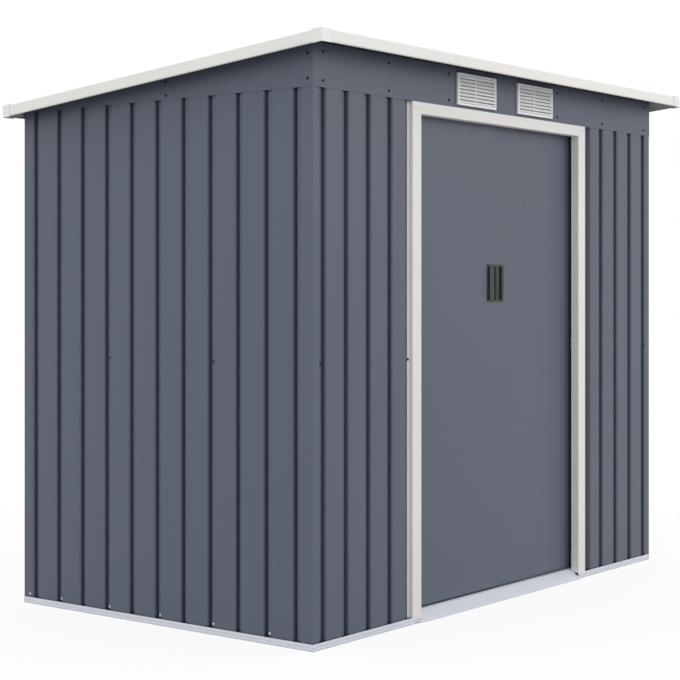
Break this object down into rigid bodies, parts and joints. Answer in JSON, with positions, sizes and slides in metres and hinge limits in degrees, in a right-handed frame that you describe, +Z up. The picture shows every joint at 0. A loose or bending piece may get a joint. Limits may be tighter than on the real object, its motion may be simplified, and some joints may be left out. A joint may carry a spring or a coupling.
{
  "type": "metal storage shed",
  "caption": "Lean-to garden shed of ribbed painted steel sheet with pale trims, louvred vents over a doorway and a pair of sliding doors",
  "frame": {"origin": "on the ground below the middle of the roof's outline", "axes": "X runs along the front, to the right of someone facing the doors; Y goes from front to back; Z is up"},
  "size_m": [2.1304, 1.2972, 1.7113],
  "materials": {
    "slate_paint": "satin slate grey paint on thin ribbed steel sheet",
    "off_white_paint": "satin off-white paint on folded steel",
    "galvanised": "bare galvanised steel",
    "black_plastic": "moulded black plastic"
  },
  "bodies": {
    "shed": {"back_wall_left": "slate_paint", "back_wall_middle": "slate_paint", "back_wall_right": "slate_paint", "base_rail_back": "galvanised", "base_rail_front_left": "galvanised", "base_rail_front_right": "galvanised", "base_rail_left": "galvanised", "base_rail_right": "galvanised", "door_header": "off_white_paint", "door_post_left": "off_white_paint", "door_post_right": "off_white_paint", "door_sill": "galvanised", "door_track_bottom": "galvanised", "door_track_top": "galvanised", "fascia_left": "slate_paint", "fascia_middle": "slate_paint", "fascia_right": "slate_paint", "front_wall_left": "slate_paint", "front_wall_right": "slate_paint", "gable_left_back": "slate_paint", "gable_left_front": "slate_paint", "gable_right_back": "slate_paint", "gable_right_front": "slate_paint", "left_wall_back": "slate_paint", "left_wall_front": "slate_paint", "mid_rails": "galvanised", "right_wall_back": "slate_paint", "right_wall_front": "slate_paint", "roof_beam": "galvanised", "roof_corner_caps": "off_white_paint", "roof_sheet_1": "slate_paint", "roof_sheet_2": "slate_paint", "roof_sheet_3": "slate_paint", "roof_trim_back": "off_white_paint", "roof_trim_front_left": "off_white_paint", "roof_trim_front_right": "off_white_paint", "roof_trim_left": "off_white_paint", "roof_trim_right": "off_white_paint", "top_rails": "galvanised", "vent_left": "off_white_paint", "vent_right": "off_white_paint"},
    "left_door": {"door_leaf_left": "slate_paint", "door_handle_left": "black_plastic"},
    "right_door": {"door_leaf_right": "slate_paint", "door_handle_right": "black_plastic"}
  },
  "joints": [
    {"name": "left_door_slide", "type": "slide", "parent": "shed", "child": "left_door", "axis": [-1, 0, 0], "range_m": [0, 0.405]},
    {"name": "right_door_slide", "type": "slide", "parent": "shed", "child": "right_door", "axis": [1, 0, 0], "range_m": [0, 0.405]}
  ]
}
